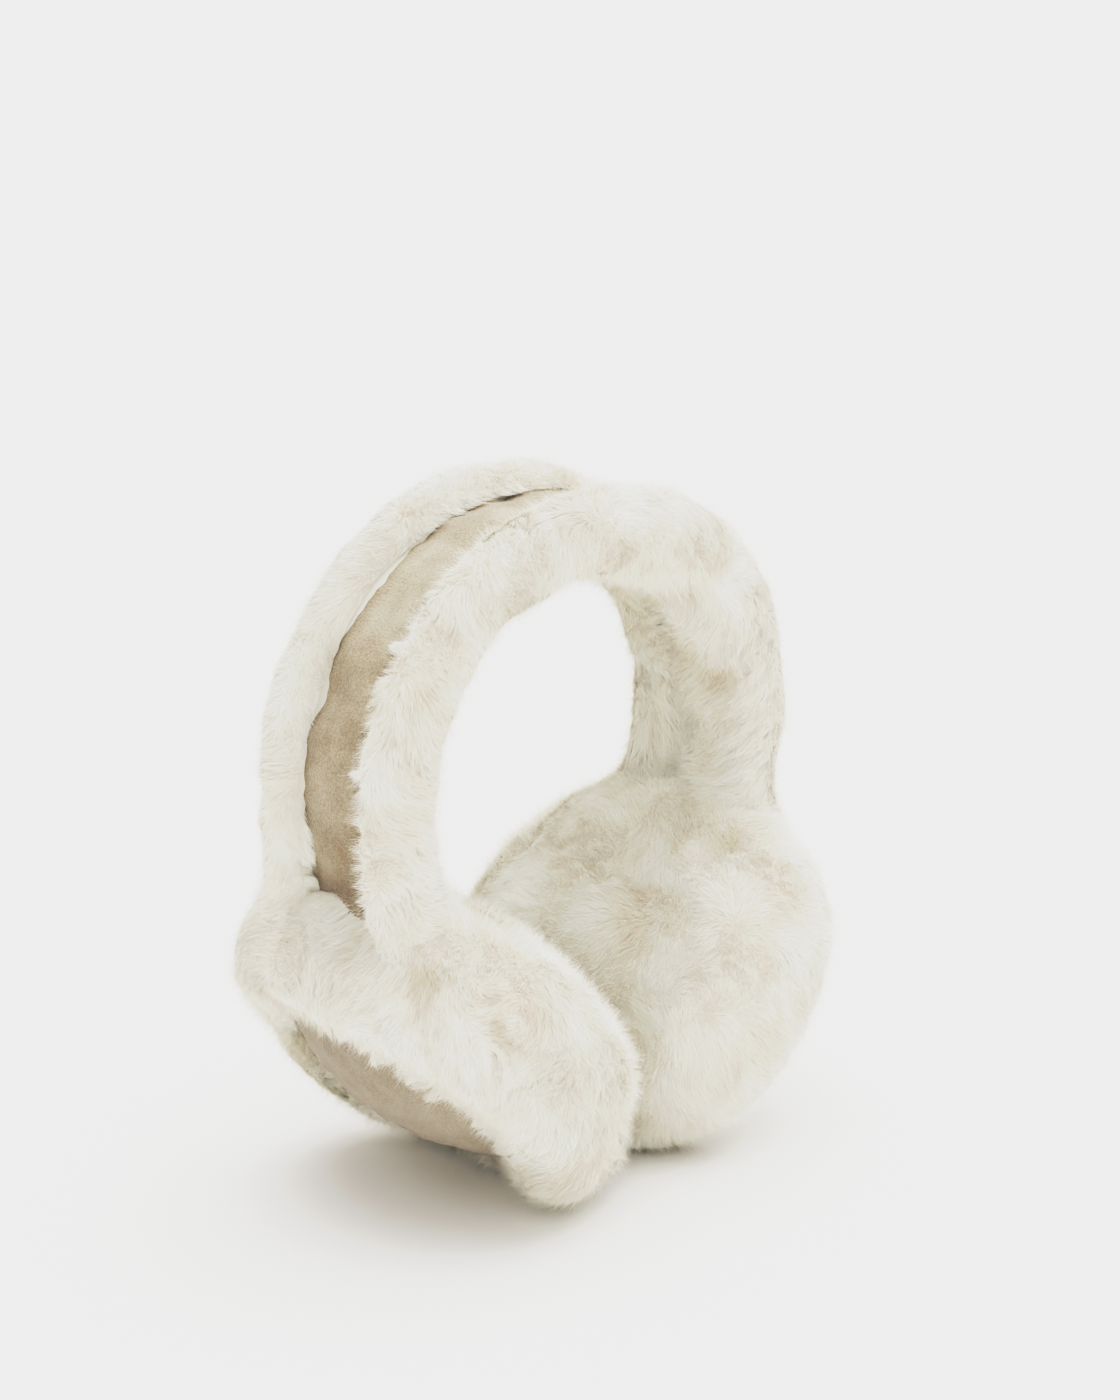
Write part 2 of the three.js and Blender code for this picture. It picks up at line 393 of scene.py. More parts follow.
def grid_faces(rows, columns, closed=False):
    """Quads of a grid of points that is stored row by row, and whose rows may be rings."""
    i, j = np.meshgrid(np.arange(rows - 1), np.arange(columns if closed else columns - 1),
                       indexing="ij")
    here = i * columns + j
    right = i * columns + (j + 1) % columns
    return np.stack([here, right, right + columns, here + columns], -1).reshape(-1, 4)


# --- band's charts

class Outline:
    """A flat line of points, measured along its arc."""

    def __init__(self, points):
        self.points = points
        self.along = arc_lengths(points)
        self.length = self.along[-1]
        tangents = unit(np.gradient(points, self.along, axis=0))
        self.out = np.stack([-tangents[:, 1], tangents[:, 0]], 1)

    def at(self, place):
        """The two coordinates of the points there, and those of the directions out."""
        return [np.interp(place, self.along, column)
                for column in (*self.points.T, *self.out.T)]


class Arch(Outline):
    """The band's middle line, measured from its end in the left cup."""

    def __init__(self):
        self.angle = np.linspace(-ARCH_END_ANGLE, ARCH_END_ANGLE, 4001)
        x = ARCH_HALF_SPAN * signed_power(np.sin(self.angle), ARCH_ROUNDNESS)
        z = ARCH_RISE * signed_power(np.cos(self.angle), ARCH_ROUNDNESS) + ARCH_HEIGHT
        super().__init__(np.stack([x, z], 1))

    def __call__(self, s):
        x, z, out_x, out_z = self.at(s)
        zero = np.zeros_like(x)
        middle = np.stack([x, zero, z], -1)
        outwards = unit(np.stack([out_x, zero, out_z], -1))
        return middle, outwards


def round_quarter(width, height, power, count):
    angle = np.linspace(0, math.pi / 2, count)
    return np.stack([width * signed_power(np.sin(angle), power),
                     height * signed_power(np.cos(angle), power)], 1)


def strip_height(side):
    """The suede's upper face over the arch's middle line, `side` from its middle."""
    edge = SLEEVE_DEPTH / 2 - STRIP_SUNK
    return edge + STRIP_CROWN * (1 - (2 * side / STRIP_WIDTH) ** 2)


def sleeve_outline():
    """The fur sleeve's section from above the strip, over the front roll, round the head
    side and over the back roll, as (to the front, outwards) points. Also the two arc lengths
    between which it is rooted: there, at the lips, the rolls bulge over the strip."""
    crest = SLEEVE_DEPTH / 2
    edge = STRIP_WIDTH / 2
    rolls = []
    for lip, slope in ((FRONT_LIP, FRONT_SLOPE), (BACK_LIP, BACK_SLOPE)):
        lap = np.linspace(edge - lip - OVERHANG, edge - lip - 0.5, LAP_POINTS)
        over_strip = np.stack([lap, strip_height(lap) + OVER_STRIP], 1)
        low = over_strip[-1, 1]
        brow = round_quarter(lip + BROW, crest - low, slope, 16)[::-1]
        brow = np.stack([edge + BROW - brow[:, 0], low + brow[:, 1]], 1)
        side = round_quarter(SLEEVE_WIDTH / 2 - edge - BROW, crest, SLEEVE_ROUNDNESS, 30)
        side[:, 0] += edge + BROW
        rolls.append(np.concatenate([over_strip, brow, side[1:]]))
    head = round_quarter(SLEEVE_WIDTH / 2, crest, SLEEVE_ROUNDNESS, 60)[::-1]
    valley = PARTING_DEPTH * fade(head[:, 0], PARTING_WIDTH)
    head = np.stack([head[:, 0], valley - head[:, 1]], 1)[1:]
    outline = np.concatenate([rolls[0], head, head[:-1][::-1] * [-1, 1],
                              rolls[1][::-1] * [-1, 1]])
    along = arc_lengths(outline)
    return outline, along[LAP_POINTS], along[-1 - LAP_POINTS]


class BandChart(Outline):
    """x runs along the arch, and y round the sleeve from the front roll to the back one."""

    def __init__(self):
        outline, self.low, self.high = sleeve_outline()
        super().__init__(outline)

    def __call__(self, x, y):
        middle, outwards = arch(x)
        side, height, to_side, to_out = self.at(y)
        point = middle + outwards * height[:, None] + FORWARDS * side[:, None]
        normal = unit(outwards * to_out[:, None] + FORWARDS * to_side[:, None])
        return point, normal


# --- cups' charts

def disc_height(radius):
    """The suede disc's face over the cup's middle plane."""
    return RING_HEIGHT - RING_INNER_DROP + DISC_CROWN * (1 - (radius / DISC_RADIUS) ** 2)


def cup_profile():
    """(distance from the axis, height outwards), from over the disc's edge to the pad's
    crown. Also the places, along it, of the ring's inner edge and of the rim's seam."""
    lap = np.linspace(DISC_RADIUS - OVERHANG, DISC_RADIUS - 1.0, LAP_POINTS)
    over_disc = np.stack([lap, disc_height(lap) + OVER_DISC], 1)
    crest_at = (CUP_RADIUS + DISC_RADIUS) / 2
    brow = round_quarter(crest_at - DISC_RADIUS, RING_INNER_DROP, 1, 12)[::-1]
    brow = np.stack([crest_at - brow[:, 0], RING_HEIGHT - RING_INNER_DROP + brow[:, 1]], 1)
    shoulder = round_quarter(CUP_RADIUS - crest_at, RING_HEIGHT, CUP_ROUNDNESS, 50)
    shoulder[:, 0] += crest_at
    pad = round_quarter(CUP_RADIUS, PAD_HEIGHT, CUP_ROUNDNESS, 120)[::-1] * [1, -1]
    profile = np.concatenate([over_disc, brow, shoulder[1:], pad[1:]])
    along = arc_lengths(profile)
    inner = along[len(over_disc)]
    rim = along[len(over_disc) + len(brow) + len(shoulder) - 2]
    return profile, inner, rim


class CupChart(Outline):
    """A polar map of a cup. For the pad, the map's middle is the pad's crown; for the ring,
    it is the disc's, and distances start at the ring's inner edge."""

    def __init__(self, side, inner_half):
        heading = 0.0 if side > 0 else math.pi - LEFT_CUP_TURN
        self.axis = np.array([math.cos(CUP_TILT) * math.cos(heading),
                              math.cos(CUP_TILT) * math.sin(heading), -math.sin(CUP_TILT)])
        self.forwards = np.array([-math.sin(heading), math.cos(heading), 0.0])
        self.upwards = np.cross(self.axis, self.forwards)
        self.centre = np.array([side * CUP_CENTRE_X, 0.0, ARCH_HEIGHT - CUP_CENTRE_DROP])
        self.inner_half = inner_half
        profile, self.inner, self.rim = cup_profile()
        super().__init__(profile)

    def place(self, distance):
        """Along the profile, from a distance to the map's middle."""
        if self.inner_half:
            return self.length - distance
        return distance - DISC_RADIUS + self.inner

    def spokes(self, turn):
        return self.upwards * np.cos(turn)[:, None] + self.forwards * np.sin(turn)[:, None]

    def __call__(self, x, y):
        turn = np.arctan2(y, x)
        radius, height, out_r, out_h = self.at(self.place(np.hypot(x, y)))
        spoke = self.spokes(turn)
        point = self.centre + self.axis * height[:, None] + spoke * radius[:, None]
        normal = unit(self.axis * out_h[:, None] + spoke * out_r[:, None])
        return point, normal


# --- materials

# FUR_ROOT is darker than FUR_TIP: painted shade deep in the fur.
FUR_ROOT = (0.935, 0.92, 0.86)
FUR_TIP = (0.968, 0.965, 0.92)
# Lowest tone: strands darker at random, and painted shade in partings and undercoat.
FUR_LOW_TONE_AND_SHADE = (0.87, 0.80, 0.715)
NAP_SHADOW = (0.76, 0.74, 0.72)
GRAIN_SCALE = 1700
CLOUD_SCALE = 150
CREASE_SHADE_SCALE = 62
GRAIN_DEPTH = 0.0006


def make_fur_material():
    """Cream fur that lets light through. The map's U is a strand's tone, low for strands
    darker at random and for painted shade where the fur parts. V runs from its root to its
    tip, and the root is darker, as painted shade deep in the fur."""
    material, tree, shader = new_material("cream_fur", {"Roughness": 0.85,
                                                        "Specular IOR Level": 0.15})
    place = node(tree, "ShaderNodeUVMap", uv_map="OFBake")
    split = node(tree, "ShaderNodeSeparateXYZ", {"Vector": place.outputs["UV"]})
    # darker towards the root: painted shade deep in the fur
    color = colored(tree, split.outputs["Y"], 0, FUR_ROOT, 0.75, FUR_TIP)
    color = times(tree, color, colored(tree, split.outputs["X"], 0, FUR_LOW_TONE_AND_SHADE, 1, WHITE))
    feed(tree, shader, {"Base Color": color})
    through = node(tree, "ShaderNodeBsdfTranslucent", {"Color": color})
    both = node(tree, "ShaderNodeMixShader", {
        "Fac": LET_THROUGH, 1: shader.outputs["BSDF"], 2: through.outputs["BSDF"]})
    feed(tree, tree.nodes["Material Output"], {"Surface": both.outputs["Shader"]})
    return material


def make_suede_material(name, dark, light, crease_shade, low, high, edge_shade):
    """Beige suede: cloudy between two colours, with darker bands of painted shade as in
    creases. low and high are heights in metres, each with a colour that multiplies the suede
    there, as painted shade and light that runs with height; the last colour is painted shade
    along the strip's front edge."""
    material, tree, shader = new_material(name, {
        "Roughness": 0.9, "Specular IOR Level": 0.15,
        "Sheen Weight": 0.25, "Sheen Roughness": 0.5})
    where = node(tree, "ShaderNodeTexCoord")

    def noise(scale, detail, squeeze=(1, 1, 1)):
        shape = node(tree, "ShaderNodeMapping", {"Scale": squeeze,
                                                 "Vector": where.outputs["Object"]})
        texture = node(tree, "ShaderNodeTexNoise", {
            "Scale": scale, "Detail": detail, "Vector": shape.outputs["Vector"]})
        return texture.outputs["Fac"]

    height = node(tree, "ShaderNodeSeparateXYZ", {"Vector": where.outputs["Object"]})
    grain = noise(GRAIN_SCALE, 2)
    # painted shade: darker bands across the suede, as in creases
    crease_shading = noise(CREASE_SHADE_SCALE, 2, (1, 0.3, 1))
    color = colored(tree, noise(CLOUD_SCALE, 6), 0.3, dark, 0.7, light)
    for value, *ramp in ((crease_shading, 0.36, crease_shade, 0.6, WHITE),
                         # painted shade and light that runs with height
                         (height.outputs["Z"], *low, *high),
                         # painted shade along the strip's front edge
                         (height.outputs["Y"], 0.006, WHITE, 0.0125, edge_shade),
                         (grain, 0.3, NAP_SHADOW, 0.64, WHITE)):
        color = times(tree, color, colored(tree, value, *ramp))
    bump = node(tree, "ShaderNodeBump", {"Strength": 0.8, "Distance": GRAIN_DEPTH,
                                         "Height": grain})
    feed(tree, shader, {"Base Color": color, "Normal": bump.outputs["Normal"]})
    return material


fur = make_fur_material()
# The strip: painted shade in creases, towards its lower ends and along its front edge.
strip_suede = make_suede_material(
    "beige_suede_strip", dark=(0.485, 0.42, 0.335), light=(0.60, 0.54, 0.435),
    crease_shade=(0.84, 0.82, 0.79), low=(0.06, (0.60, 0.56, 0.52)), high=(0.17, WHITE),
    edge_shade=(0.66, 0.62, 0.57))
# The discs: faint painted shade in creases, and painted light near the ground.
disc_suede = make_suede_material(
    "beige_suede_disc", dark=(0.45, 0.39, 0.315), light=(0.50, 0.44, 0.36),
    crease_shade=(0.94, 0.93, 0.92), low=(0.02, WHITE), high=(0.06, (0.8, 0.8, 0.8)), edge_shade=WHITE)


# --- fur

class Spots:
    """Round places in space, each with a value that fades out over its radius. Each row says
    on which form, its two coordinates as cup_place or band_place has them, radius, value."""

    def __init__(self, rows):
        self.centres = np.array([band_place(*at) if form == BAND else cup_place(form, *at)
                                 for form, *at, _, _ in rows])
        self.radii = np.array([radius for *_, radius, _ in rows])
        self.values = np.array([value for *_, value in rows])

    def weights(self, points):
        away = points[:, None] - self.centres
        return self.values * np.exp(-(away ** 2).sum(-1) / self.radii ** 2), away

    def __call__(self, points):
        return self.weights(points)[0].sum(1)

    def outwards(self, points):
        """Vectors away from the centres, as in a whorl of fur."""
        weight, away = self.weights(points)
        return (away * (weight / self.radii)[..., None]).sum(1)


def outside(across, reach, height, tall, roundness):
    """Roughly how far a place is outside a rounded section of that reach and height."""
    power = 2 / roundness
    scale = ((across / reach) ** power + (height / tall) ** power) ** (1 / power)
    return np.hypot(across, height) * (1 - 1 / np.maximum(scale, 1e-3))


def to_cups(points):
    """Roughly how far points are outside the nearer cup's outer form."""
    nearest = np.full(len(points), np.inf)
    crest = (CUP_RADIUS + DISC_RADIUS) / 2
    for chart in pad_charts.values():
        offset = points - chart.centre
        height = offset @ chart.axis
        radius = np.linalg.norm(offset - height[:, None] * chart.axis, axis=1)
        across = np.where(height < 0, radius, np.maximum(radius - crest, 0))
        reach = np.where(height < 0, CUP_RADIUS, CUP_RADIUS - crest)
        tall = np.where(height < 0, PAD_HEIGHT, RING_HEIGHT)
        away = outside(across, reach, np.abs(height), tall, CUP_ROUNDNESS)
        nearest = np.minimum(nearest, away)
    return nearest


def to_band(points):
    """Roughly how far points are outside the band's outer form. Over the suede strip, the form
    is the strip."""
    flat = np.stack([points[:, 0], points[:, 2]], 1)
    s = np.linspace(0, arch.length, 120)
    middle, outwards = arch(s)
    middle = middle[:, [0, 2]]
    nearest = np.linalg.norm(flat[:, None] - middle, axis=2).argmin(1)
    away = flat - middle[nearest]
    gap = np.linalg.norm(away, axis=1)
    out = (away * outwards[nearest][:, [0, 2]]).sum(1)
    width = np.abs(points[:, 1])
    away = outside(gap, SLEEVE_DEPTH / 2, width, SLEEVE_WIDTH / 2, SLEEVE_ROUNDNESS)
    groove = (width < STRIP_WIDTH / 2) & (out > 0)
    return np.where(groove, np.maximum(out - SLEEVE_DEPTH / 2 + STRIP_SUNK, away), away)


def fillet(distance):
    """What fills the corner between two furry forms, by how far a place is from the other."""
    return FILLET / 4 * (1 - np.minimum(np.abs(distance) / FILLET, 1)) ** 2


def chance(x, y):
    """A number from 0 to 1 that looks random, the same for the same place."""
    return np.mod(np.sin(x * 12.9898 + y * 78.233) * 43758.5453, 1)


# Columns of a pelt's table; before them are a point and the direction out of the fur.
LEAN = slice(6, 8)
TONE, GATHER, LIFT, BURIED = 8, 9, 10, 11


class Pelt:
    """The fur's outer form on a box of a chart: the chart's surface raised by a relief, which
    way the strands lean across the map, how light they are (with painted shade where the fur
    parts), how far they draw together into tufts and how far they stand up, all kept on a
    fine grid."""

    side = 0

    def __init__(self, chart, low, high, spacing, seed):
        self.chart = chart
        self.low = np.array(low)
        self.seed = seed
        self.spacing = spacing
        cells = (np.ceil((np.array(high) - self.low) / PELT_GRID) + 1).astype(int)
        self.size = cells
        x, y = np.meshgrid(np.arange(cells[0]) * PELT_GRID + low[0],
                           np.arange(cells[1]) * PELT_GRID + low[1], indexing="ij")
        x, y = x.ravel(), y.ravel()
        base, flat = chart(x, y)
        lean_x, lean_y = self.comb(x, y, base)
        tuft = 0
        for size, part in ((spacing, 1.0), (CLUMP_SPACING, CLUMP_SHARE)):
            tuft_x, tuft_y, gap = nearest_tuft(x, y, size, seed)
            ahead = (x - tuft_x) * lean_x + (y - tuft_y) * lean_y
            ahead = ahead / (np.hypot(lean_x, lean_y) + 1)
            tuft += part * (TUFT_DOME * (0.35 - (gap / size) ** 2) + TUFT_STEP * ahead / size)
        height = self.relief(x, y, base) + self.tufted(x, y, base) * tuft
        point = self.bound(base + flat * height[:, None]).reshape(*cells, 3)
        along_x = np.gradient(point, PELT_GRID, axis=0)
        along_y = np.gradient(point, PELT_GRID, axis=1)
        normal = unit(np.cross(along_x, along_y))
        flat = flat.reshape(*cells, 3)
        normal = normal * np.sign((normal * flat).sum(-1, keepdims=True))
        normal = unit(normal + FLATTEN * flat)
        lean = np.stack([lean_x, lean_y], -1).reshape(*cells, 2)
        stray = self.stray(base).reshape(*cells, 3)
        for axis, along in enumerate((along_x, along_y)):
            lean[..., axis] += (stray * along).sum(-1) / np.maximum((along ** 2).sum(-1), 0.2)
        rest = np.stack([self.shade(base), self.gather(x, y, base),
                         self.lift(x, y, base), self.buried(base)], -1)
        rest = rest.reshape(*cells, 4)
        self.table = np.concatenate([point, normal, lean, rest], -1)

    def __call__(self, x, y):
        """Rows of the table: points of the outer form, directions out of it and the rest."""
        place = (np.stack([x, y], -1) - self.low) / PELT_GRID
        place = np.clip(place, 0, self.size - 1.001)
        cell = place.astype(int)
        fx, fy = (place - cell).T[..., None]
        i, j = cell.T
        found = ((self.table[i, j] * (1 - fx) + self.table[i + 1, j] * fx) * (1 - fy)
                 + (self.table[i, j + 1] * (1 - fx) + self.table[i + 1, j + 1] * fx) * fy)
        found[:, 3:6] = unit(found[:, 3:6])
        return found

    def bound(self, points):
        return points

    def near_edge(self, x, y, width):
        """Runs from 1 at the fur's edge, and beyond it, to 0 well inside the fur."""
        return fade(np.maximum(self.from_edge(x, y), 0), width)

    def stray(self, base):
        """How the flow of the fur wanders, as vectors in space."""
        wander = np.stack([sweep(base) for sweep in sweeps], -1)
        return STRAY * wander + whorls.outwards(base)

    def tufted(self, x, y, base):
        return np.clip(0.6 + 0.4 * mottle(base) + ruffled(base), 0.1, 1.4)

    def valleys(self, base):
        """Where the fur parts and sinks, from 0 to 1, with painted shade in its tone."""
        opened = partings(base) * np.clip(0.75 + 0.5 * ruffle(base), 0, 1.5)
        return np.clip(opened + 0.4 * np.clip(patches(base) - 0.9, 0, 1), 0, 1)

    # A strand's tone: a little lighter where the fur swells out, and painted shade where it
    # parts.
    def shade(self, base):
        return FUR_TONE + 0.08 * swell(base) - VALLEY_TONE * self.valleys(base)


def grow(pelt, x, y):
    """Strands rooted at (x, y) of a pelt's map: three corners each, normals and tones."""
    draw = np.random.default_rng(pelt.seed)
    count = len(x)
    at_root = pelt(x, y)
    lean, tone, gather, lift = (at_root[:, column] for column in (LEAN, TONE, GATHER, LIFT))
    tuft_x, tuft_y, _ = nearest_tuft(x, y, pelt.spacing, pelt.seed)
    lock_x, lock_y, _ = nearest_tuft(x, y, LOCK_SPACING, pelt.seed + 5)
    pull = draw.uniform(*PULL, count) * gather
    cling = draw.uniform(*CLING, count)
    stretch = draw.uniform(*STRETCH, count)
    guard = draw.random(count) < GUARD_SHARE
    stretch *= np.where(guard, 0.7, 1) * (0.6 + 0.8 * chance(tuft_x, tuft_y))
    flat_lying = 1 - np.exp(-(lean ** 2).sum(1) / 2.0)
    spread = np.where(guard, 1.1, 0.9 - 0.55 * flat_lying)
    tip_x = x + (tuft_x - x) * pull + (lock_x - x) * cling + lean[:, 0] * stretch
    tip_y = y + (tuft_y - y) * pull + (lock_y - y) * cling + lean[:, 1] * stretch
    tip_x += draw.normal(0, spread)
    tip_y += draw.normal(0, spread)
    rise = 0.1 + draw.normal(0, 0.1, count) + draw.uniform(0.3, 1, count) * lift
    rise += np.where(guard, GUARD_RISE * draw.uniform(0.1, 1, count) ** 1.6, 0)
    at_tip = pelt(tip_x, tip_y)
    outwards = unit(at_root[:, 3:6] + at_tip[:, 3:6])
    root = at_root[:, :3] - at_root[:, 3:6] * ROOT_DEPTH
    tip = at_tip[:, :3] + at_tip[:, 3:6] * rise[:, None]
    heading = unit(tip - root)
    across = unit(np.cross(outwards, heading) + 1e-6)
    turned = unit(np.cross(heading, across))
    roll = draw.normal(0, 1, count) * np.where(guard, 0.5, STRAND_ROLL)
    across = across * np.cos(roll)[:, None] + turned * np.sin(roll)[:, None]
    width = STRAND_WIDTH * draw.uniform(*BREADTH, count) * np.where(guard, GUARD_WIDTH, 1)
    flat = unit(np.cross(across, heading))
    flat = flat * np.sign((flat * outwards).sum(1, keepdims=True))
    across = across * (width / 2)[:, None]
    points = np.stack([root - across, root + across, tip], 1)
    normals = unit(outwards + (OWN_SHADING * np.where(guard, 2, 1))[:, None] * flat)
    tone = tone + 0.3 * (chance(lock_x, lock_y) - 0.5) + 0.2 * (chance(tuft_x, tuft_y) - 0.5)
    tone = np.clip(tone + draw.normal(0, TONE_SPREAD, count), 0, 1)
    return points, normals, tone


def fence(points, side):
    """Keeps fur on its own side of the cups' meeting plane, and over the ground."""
    points[..., 2] = np.maximum(points[..., 2], CLEARANCE)
    if side:
        points[..., 0] = side * np.maximum(points[..., 0] * side, CLEARANCE)
    return points


def dipping(from_edge):
    """The undercoat's depth under the tips, which grows at an edge."""
    return UNDERCOAT_DEPTH + DIP * np.clip((1.0 - from_edge) / 2.5, 0, 1)


def undercoat(pelt, x, y, depth):
    """The dense fur under the tips, a skin over a grid of a pelt's map: its points, normals
    and tones, a step darker than the strands', as painted shade deep in the fur."""
    found = pelt(x.ravel(), y.ravel())
    normals = found[:, 3:6]
    points = fence(found[:, :3] - normals * depth.ravel()[:, None], pelt.side)
    # painted shade: the undercoat's tone is a step lower than the strands'
    return points, normals, np.clip(found[:, TONE] - 0.2, 0, 1)


def turned_out(faces, vertices, normals):
    """The faces with their corners in the order that makes them face the way of the normals."""
    first, second, third = (vertices[faces[:, corner]] for corner in range(3))
    facing = (np.cross(second - first, third - first) * normals[faces[:, 0]]).sum(1)
    return np.where(facing[:, None] < 0, faces[:, ::-1], faces)


def fur_piece(name, node_name, pelt, x, y, coat, quads):
    """One piece of fur: strands of one triangle each, and the undercoat they stand in."""
    points, normals, tone = grow(pelt, x, y)
    points = fence(points, pelt.side)
    count = len(points)
    coat_points, coat_normals, coat_tone = coat
    vertices = np.concatenate([points.reshape(-1, 3), coat_points])
    normals = np.concatenate([np.repeat(normals, 3, axis=0), coat_normals])
    faces = turned_out(np.arange(count * 3).reshape(-1, 3), vertices, normals)
    quads = turned_out(quads + count * 3, vertices, normals)
    faces = np.concatenate([faces, quads[:, [0, 1, 2]], quads[:, [0, 2, 3]]])
    uv = np.zeros((count, 3, 2))
    uv[:, :, 0] = tone[:, None] * 0.95 + np.array([0.01, 0.03, 0.02])
    uv[:, :, 1] = np.array([0.01, 0.01, 0.99])
    wobble = np.arange(len(coat_points)) % 7 * 0.002
    coat_uv = np.stack([coat_tone * 0.95 + 0.02 + wobble, 0.3 + wobble], 1)
    uv = np.concatenate([uv.reshape(-1, 2), coat_uv])
    piece = add_mesh(name, vertices, faces, fur, uv)
    shade_smooth(piece)
    piece.data.normals_split_custom_set_from_vertices(normals.tolist())
    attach(piece, "root")
    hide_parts(node_name)


def scatter(seed, low, high, keep, most):
    """Random points of a box of a chart, thinned by `keep`, each point's share of `most`."""
    draw = np.random.default_rng(seed)
    span = np.array(high) - np.array(low)
    count = int(span[0] * span[1] * STRANDS_PER_MM2 * most)
    spots = draw.random((count, 2)) * span + np.array(low)
    kept = draw.random(count) < keep(spots[:, 0], spots[:, 1]) / most
    return spots[kept, 0], spots[kept, 1]


arch = Arch()
band_chart = BandChart()
pad_charts = {side: CupChart(side, True) for side in (LEFT, RIGHT)}


def cup_place(side, turn, reach):
    """A point of a cup's outer form: `turn` degrees round from the top towards the front of
    the right cup or the back of the left one, `reach` along the fur from the rim's seam,
    over the pad, or over the ring where negative."""
    chart = pad_charts[side]
    distance = chart.length - chart.rim - reach
    turn = math.radians(turn)
    point, _ = chart(np.array([distance * math.cos(turn)]), np.array([distance * math.sin(turn)]))
    return point[0]


def band_place(angle, around):
    """A point of the band's outer form: `angle` degrees along the arch from its crown towards
    the right cup, and a share `around` of the way from the back edge of the strip round the
    head side to its front edge."""
    s = np.interp(math.radians(angle), arch.angle, arch.along)
    y = band_chart.high + around * (band_chart.low - band_chart.high)
    point, _ = band_chart(np.array([s]), np.array([y]))
    return point[0]


# Where the stuffing swells or sinks: form, place, radius and height.
puffs = Spots([
    (LEFT, 325, 4, 17, 4.0),
    (LEFT, 290, -14, 17, -2.6),
    (LEFT, 262, -24, 14, 3.5),
    (LEFT, 232, -24, 14, 3.5),
    (LEFT, 45, -24, 16, -2.2),
    (LEFT, 80, -24, 15, -2.0),
    (LEFT, 15, -24, 13, -1.5),
    (LEFT, 14, 4, 11, -3.0),
    (LEFT, 128, -24, 13, 3.5),
    (LEFT, 105, -12, 16, 2.5),
    (LEFT, 135, -16, 18, 2.0),
    (RIGHT, 225, -14, 24, 3.0),
    (RIGHT, 318, 0, 18, 2.0),
    (RIGHT, 30, 44, 12, 2.0),
    (RIGHT, 104, 60, 14, 2.0),
    (BAND, -65, 0.9, 20, 1.0),
    (BAND, -38, 0.9, 20, 1.4),
    (BAND, -15, 0.97, 22, 3.0),
    (BAND, 8, 0.97, 22, 2.6),
    (BAND, 70, 0.12, 26, -1.2),
    (BAND, 105, 0.12, 26, -2.6),
    (BAND, 70, 0.65, 26, -1.6),
])

# Where the fur parts round a point: form, place, radius and how far its tips are thrown.
whorls = Spots([
    (LEFT, 44, 0, 14, 4.0),
    (LEFT, 106, -16, 9, 2.0),
    (RIGHT, 268, 38, 14, 1.2),
    (BAND, -60, 0.14, 9, 3.0),
    (BAND, -78, 0.14, 8, -3.0),
    (BAND, 70, 0.4, 9, 4.0),
])

# Where the fur is more or less ruffled: form, place, radius and how much.
ruffled = Spots([
    (RIGHT, 268, 34, 22, 0.15),
    (RIGHT, 220, 30, 22, 0.1),
    (RIGHT, 330, 50, 34, -0.35),
    (LEFT, 50, -2, 30, 0.8),
    (LEFT, 20, -6, 16, 0.3),
    (LEFT, 80, -8, 20, 0.5),
    (BAND, -65, 0.15, 24, 0.5),
    (BAND, 75, 0.42, 22, 0.6),
    (LEFT, 325, -4, 26, -0.6),
    (RIGHT, 60, 40, 24, -0.5),
    (RIGHT, 22, 51, 26, -0.6),
    (BAND, -30, 1.0, 40, -0.5),
    (BAND, 30, 0.05, 26, -0.4),
])

# Where the fur parts, sinks and darkens as painted shade: form, place, radius and how much.
partings = Spots([
    (LEFT, 38, 0, 6, 1.0),
    (LEFT, 56, 5, 5, 0.6),
    (LEFT, 64, 2, 6, 0.8),
    (LEFT, 76, -12, 3, 0.6),
    (LEFT, 86, -6, 3, 0.5),
    (LEFT, 22, 5, 4, 0.4),
    (RIGHT, 314, 46, 8, 0.1),
    (RIGHT, 252, 50, 7, 0.15),
    (RIGHT, 228, 48, 7, 0.2),
    (RIGHT, 262, 29, 4, 0.4),
    (RIGHT, 278, 24, 6, 0.2),
    (RIGHT, 282, -7, 4, 0.4),
    (RIGHT, 222, 20, 6, 0.4),
    (RIGHT, 268, 36, 24, 0.12),
    (RIGHT, 30, 46, 30, -0.8),
    (BAND, 40, 0.32, 4, 0.7),
    (BAND, 54, 0.35, 4, 0.8),
    (BAND, 74, 0.36, 5, 0.7),
    (BAND, 81, 0.39, 4, 0.5),
    (BAND, 69, 0.49, 5, 0.5),
    (BAND, 66, 0.45, 20, 0.3),
    (BAND, -45, 0.12, 6, 0.45),
    (BAND, -58, 0.15, 5, 0.45),
    (BAND, -68, 0.11, 4, 0.5),
    (BAND, -75, 0.15, 5, 0.45),
    (BAND, -83, 0.14, 4, 0.4),
    (BAND, 26, 0.23, 6, 0.5),
    (BAND, 18, 0.51, 7, 0.3),
    (BAND, -18, 0.18, 5, 0.35),
    (BAND, 8, 0.25, 6, 0.35),
])

swell = Waves(3, 26.0)
ruffle = Waves(4, 10.0)
mottle = Waves(12, 30.0)
patches = Waves(17, 22.0)
sweeps = [Waves(5, 26.0), Waves(6, 26.0), Waves(13, 26.0)]


